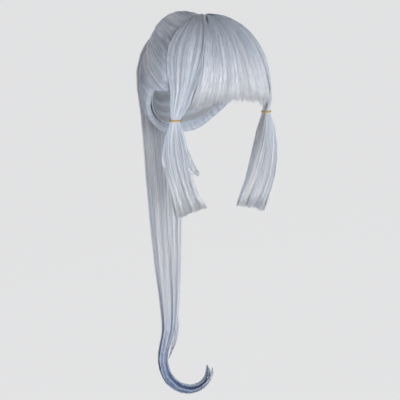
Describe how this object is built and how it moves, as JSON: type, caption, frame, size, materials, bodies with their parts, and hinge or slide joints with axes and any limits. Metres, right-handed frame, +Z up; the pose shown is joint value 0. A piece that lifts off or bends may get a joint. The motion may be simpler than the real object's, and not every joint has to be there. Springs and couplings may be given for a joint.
{
  "type": "ponytail wig",
  "caption": "Silver-blue wig with a blunt fringe, a tied lock at each side and a long high ponytail that curls at its end, on a fitted cap that is open below.",
  "frame": {"origin": "inside top of the cap, where it sits on the head", "axes": "+Z up, the wearer faces -Y and the wearer's left side is +X"},
  "size_m": [0.2002, 0.2826, 0.6275],
  "materials": {
    "hair": "satin synthetic fibre, silver with a blue tint",
    "tail_hair": "satin synthetic fibre, silver turning blue towards the tip",
    "cap_net": "matte elastic net with sewn wefts",
    "gold_elastic": "wound gold elastic, slightly glossy"
  },
  "bodies": {
    "root": {"wig_cap": "cap_net", "swept_back": "hair", "fringe": "hair", "side_lock_right": "hair", "side_lock_left": "hair", "tie_right": "gold_elastic", "tie_left": "gold_elastic", "ponytail": "tail_hair", "ponytail_tie": "hair"}
  },
  "joints": []
}
